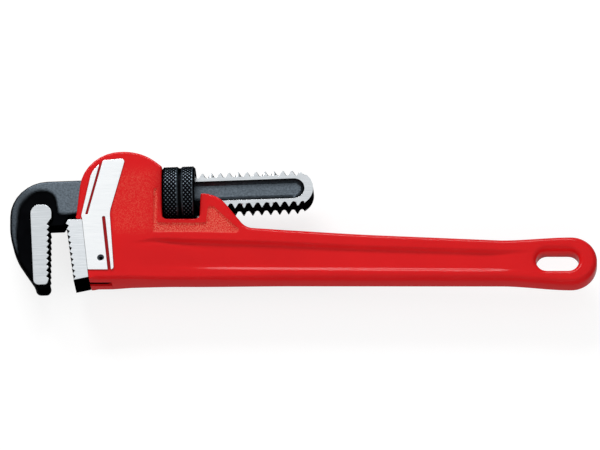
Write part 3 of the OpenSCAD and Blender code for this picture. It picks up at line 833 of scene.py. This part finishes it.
# The ridge fills the shank's root: its half width grows by flank for each millimetre outwards
offset = (s + nut_front - first_crest - pitch / 2 + pitch * a / (2 * np.pi)) / pitch
away = np.abs(offset - np.round(offset)) * pitch
ridge = np.clip(root_shoulder + (away - 0.5) / flank, root_shoulder, nut_bore)
from_end = np.minimum(s, nut_length - s)
ridge = np.minimum(nut_bore, np.maximum(ridge, nut_bore - 3 * from_end))
r = np.where(threaded[:, None] > 0, ridge, r)
points = np.stack([s + nut_front, r * np.cos(a), r * np.sin(a)], -1).reshape(-1, 3)
m, n = s.shape
i, j = np.meshgrid(np.arange(m), np.arange(n), indexing="ij")
here, after, j_after = i * n, (i + 1) % m * n, (j + 1) % n
quads = np.stack([here + j, here + j_after, after + j_after, after + j], -1)
nut = solid("knurled_adjusting_nut", (points, quads.reshape(-1, 4).tolist()), along_shank, 50)
# Painted highlight: the knurl's tips and the edges of the groove and the rear chamfer are coloured
# paler
edges = [groove_at - groove_half, groove_at + groove_half, nut_length - nut_chamfer]
painted_highlight = 0.6 * np.max([ease(1 - np.abs(s - e) / 0.5) for e in edges], axis=0)
painted_highlight = painted_highlight * (threaded[:, None] < 1)
tips = 1.2 * knurl[:, None] * ease((pyramid - 0.45) / 0.5)
mark(nut, "painted_sheen", np.maximum(tips, painted_highlight).ravel())
finish_piece(nut, black_forging, "nut", "forged_black", "adjusting_nut")

# ---------------------------------------------------------------------------------------------
# Heel jaw: a toothed block of hardened steel whose tenon is pinned in the casting's fork. Its
# sides are ground flush with the cheeks, and the other faces stay black.
heel_top = seat_top - 0.5
heel_bite = saw_teeth((arch_front - 5.6, 35), (arch_front + 0.6, -2), 1.7, 10, 0.42)
heel_loop = rounded([(arch_front - 4.4, heel_top, 1.4)] + heel_bite +
                    [(seam(0) - 0.1, 0, 0), (seam(heel_top) - 0.1, heel_top, 0)], 1.0)
plan, tri = plan_of([heel_loop], lambda p: depth_in(p, heel_loop), hair, 2.5)
into_heel = depth_in(plan, heel_loop)
half = softened(pad_top - 0.04, into_heel, grind)
heel = solid("heel_jaw_block", closed(plan, tri, half, -half), sharp=30)
tenon = rounded([(arch_front + 3.4, 0.7, 1), (fork_stop - 0.3, 0.7, 3),
                 (fork_stop - 0.3, 33.5, 4), (arch_front - 1.6, 33.5, 0.3)])
carve(heel, "UNION", solid("tenon", prism(tenon, -2.5, 2.5)), sharp=30)
saddle = np.array([(arch_front - 10, 35.2), (arch_front + 10, 35.2),
                   (arch_front + 10, 45), (arch_front - 10, 45)])
carve(heel, "DIFFERENCE", solid("saddle", prism(saddle, -6.8, 6.8)),
      solid("bore", prism(circle(pin_at, pin_bore), -12, 12)), sharp=30)
finish_piece(heel, black_forging, "handle", "forged_black", "heel_jaw")

top = softened(pad_top, into_heel, 0.1)
heel_face = solid("ground_heel_faces", mirrored(*slab(plan, tri, top, pad_top - 0.5)))
finish_piece(heel_face, heel_steel, "handle", "ground_steel")

# ---------------------------------------------------------------------------------------------
# Floor, light and camera: a pale bench, a large softbox above and behind, a weak fill in front,
# and a white world that shiny faces see as a dome, brightest overhead.
floor_mesh = bpy.data.meshes.new("floor")
floor_mesh.from_pydata([(-3, -3, 0), (3, -3, 0), (3, 3, 0), (-3, 3, 0)], [], [(0, 1, 2, 3)])
floor = bpy.data.objects.new("floor", floor_mesh)
bpy.context.scene.collection.objects.link(floor)
paper, tree, shader, where = material("white_paper")
shader.inputs["Base Color"].default_value = linear("#9C9C9C")
shader.inputs["Roughness"].default_value = 1.0
shader.inputs["Specular IOR Level"].default_value = 0.0
shader.inputs["Emission Color"].default_value = (1, 1, 1, 1)
# The bench glows in full for camera and transmitted rays, and by a quarter for reflections
path = add(tree, "LightPath").outputs
seen = add(tree, "Math", {0: path["Is Camera Ray"], 1: path["Is Transmission Ray"]},
           operation="MAXIMUM").outputs["Value"]
seen = add(tree, "Math", {0: path["Is Glossy Ray"], 1: 0.25, 2: seen},
           operation="MULTIPLY_ADD").outputs["Value"]
glow = add(tree, "Math", {0: seen, 1: 0.76}, operation="MULTIPLY").outputs["Value"]
tree.links.new(glow, shader.inputs["Emission Strength"])
floor_mesh.materials.append(paper)

world = bpy.data.worlds.new("studio")
bpy.context.scene.world = world
world.use_nodes = True
tree = world.node_tree
path = add(tree, "LightPath").outputs
height = add(tree, "TexCoord").outputs["Generated"]
height = add(tree, "SeparateXYZ", {"Vector": height}).outputs["Z"]
dome = add(tree, "MapRange", {"Value": height, "From Min": 0.2, "From Max": 0.95,
                              "To Min": 0.18, "To Max": 1.0},
           interpolation_type="SMOOTHSTEP").outputs["Result"]
level = add(tree, "Mix", {"Factor": path["Is Glossy Ray"], "A": 0.4, "B": dome}).outputs["Result"]
level = add(tree, "Mix", {"Factor": path["Is Camera Ray"], "A": level, "B": 1.0}).outputs["Result"]
tree.links.new(level, tree.nodes["Background"].inputs["Strength"])
tree.nodes["Background"].inputs["Color"].default_value = (1, 1, 1, 1)

toward = Vector((0.06, -0.4202, 0.9054)).normalized()
right = Vector((0.9982, 0.0253, -0.0545))
right = (right - toward * right.dot(toward)).normalized()
up = toward.cross(right)
aim = Vector((-0.0018, -0.0005, 0.01785))
eye = aim + toward * 3.0
camera = bpy.data.objects.new("camera", bpy.data.cameras.new("camera"))
camera.data.lens, camera.data.sensor_width, camera.data.clip_end = 300, 36, 20
camera.matrix_world = Matrix(((right.x, up.x, toward.x, eye.x), (right.y, up.y, toward.y, eye.y),
                              (right.z, up.z, toward.z, eye.z), (0, 0, 0, 1)))
bpy.context.scene.collection.objects.link(camera)
bpy.context.scene.camera = camera
bpy.context.scene.view_settings.view_transform = "Standard"

for name, spot, size, power in (("key", (-0.25, 1.0, 0.62), (1.0, 0.35), 12.5),
                                ("fill", (0.2, -1.1, 0.7), (0.7, 0.7), 6.0)):
    lamp = bpy.data.objects.new(name, bpy.data.lights.new(name, "AREA"))
    lamp.data.shape, lamp.data.energy = "RECTANGLE", power
    lamp.data.size, lamp.data.size_y = size
    lamp.visible_glossy = name == "key"
    lamp.location = spot
    lamp.rotation_mode = "QUATERNION"
    lamp.rotation_quaternion = (Vector(spot) - aim).to_track_quat("Z", "Y")
    bpy.context.scene.collection.objects.link(lamp)

bpy.context.view_layer.update()
